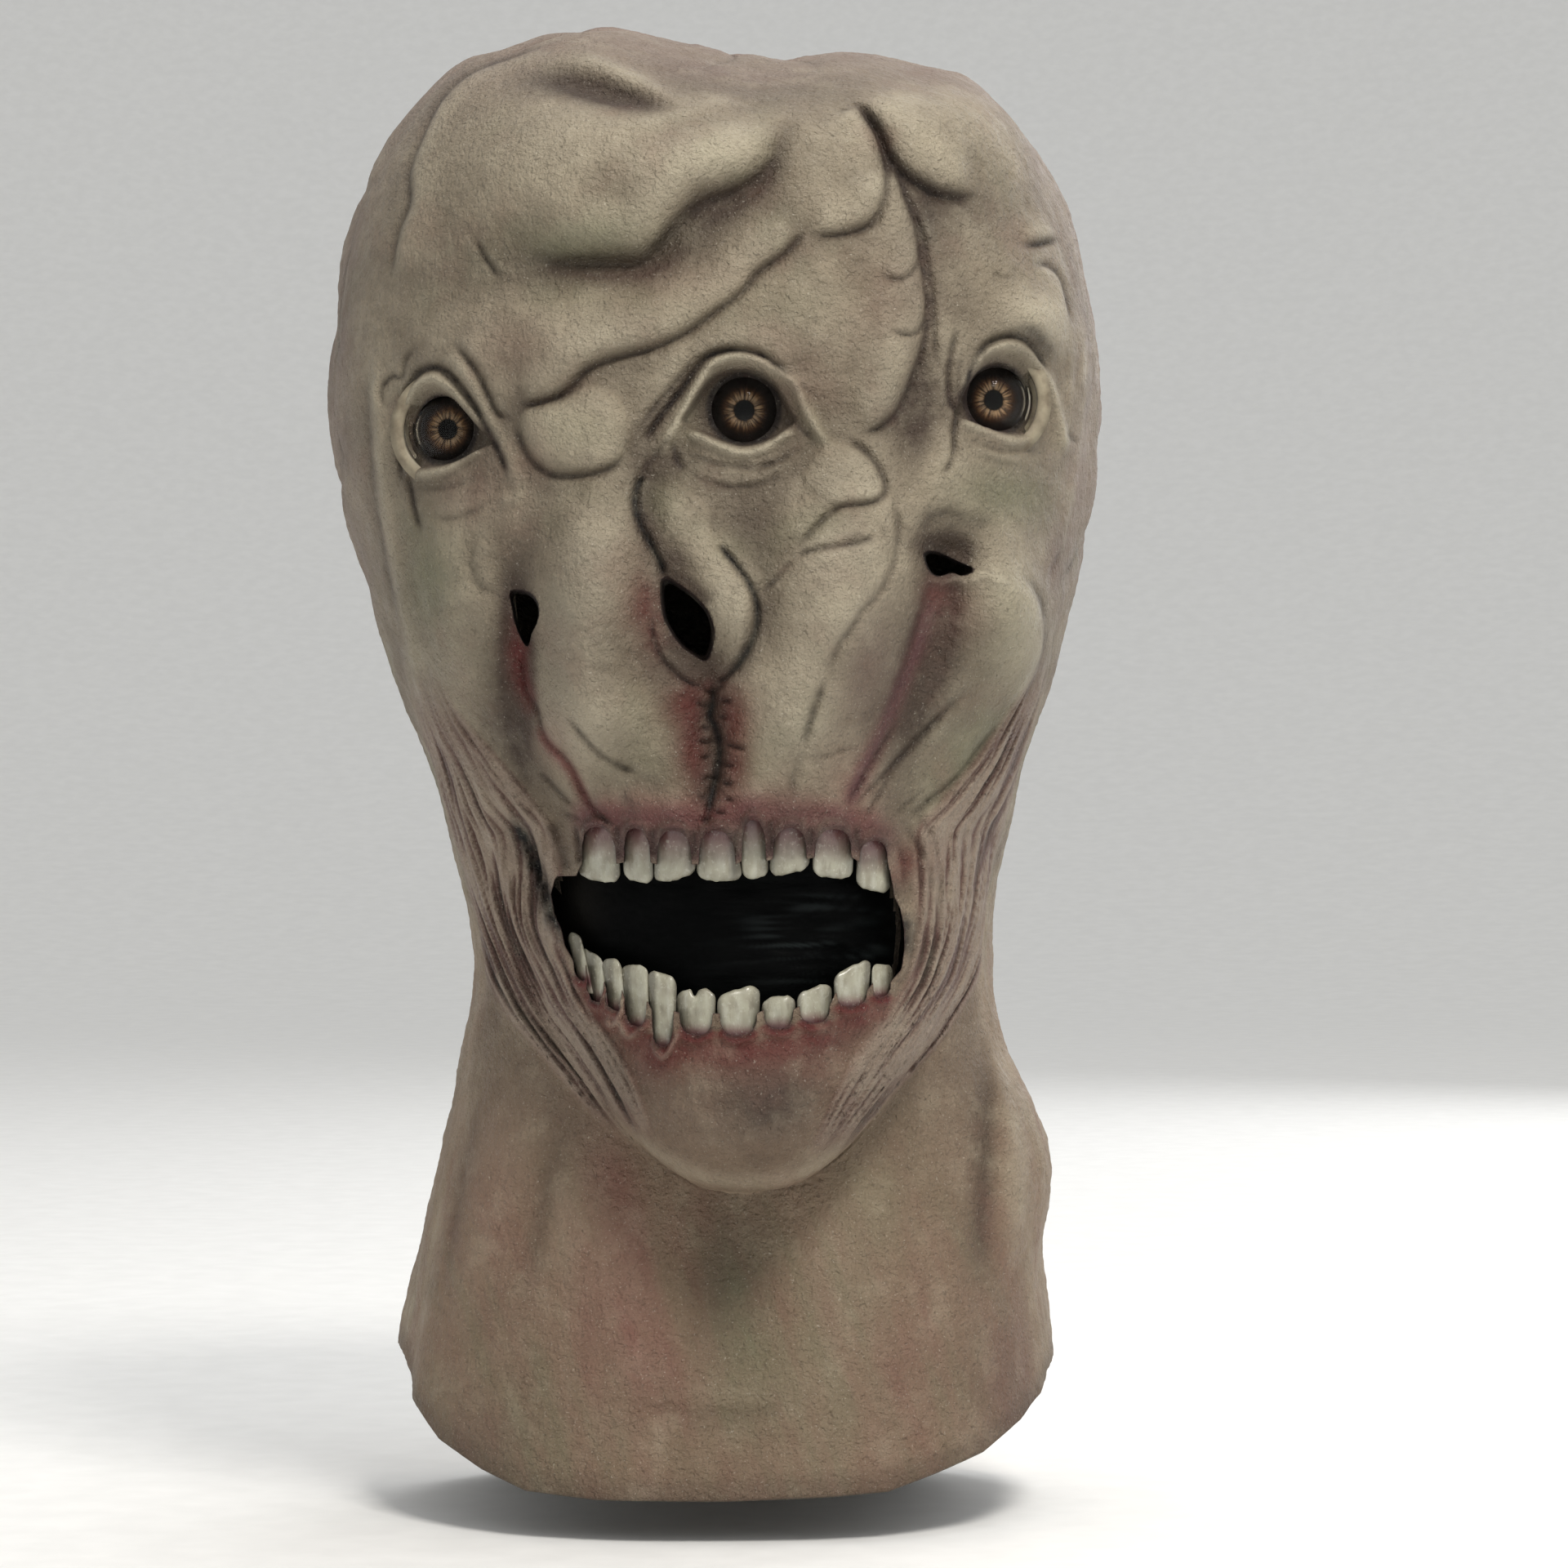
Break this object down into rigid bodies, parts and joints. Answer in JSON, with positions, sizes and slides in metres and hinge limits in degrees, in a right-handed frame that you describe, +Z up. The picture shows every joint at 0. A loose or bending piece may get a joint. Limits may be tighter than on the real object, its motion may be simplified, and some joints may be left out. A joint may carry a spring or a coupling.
{
  "type": "latex halloween mask",
  "caption": "Overhead latex monster mask covering head, face and neck, with glued-in domed eyes, pierced nostrils and an open toothed mouth.",
  "frame": {"origin": "middle of the neck opening, level with the lowest point of the hem", "axes": "+Z up through the head to the crown, -Y the way the face looks, +X to the right as seen from the front"},
  "size_m": [0.23, 0.2224, 0.4372],
  "materials": {
    "skin_latex": "satin, airbrushed",
    "mouth_black": "brushed gloss paint",
    "teeth": "satin, stained",
    "eye_clear": "polished",
    "eye_iris": "printed",
    "eye_white": "gloss",
    "collar_latex": "unpainted latex"
  },
  "bodies": {
    "root": {"latex_skin": "skin_latex", "mouth_lining": "mouth_black", "upper_teeth": "teeth", "lower_teeth": "teeth", "eye_left_cornea": "eye_clear", "eye_left_iris": "eye_iris", "eye_left_cup": "eye_white", "eye_left_collar": "collar_latex", "eye_center_cornea": "eye_clear", "eye_center_iris": "eye_iris", "eye_center_cup": "eye_white", "eye_center_collar": "collar_latex", "eye_right_cornea": "eye_clear", "eye_right_iris": "eye_iris", "eye_right_cup": "eye_white", "eye_right_collar": "collar_latex"}
  },
  "joints": []
}
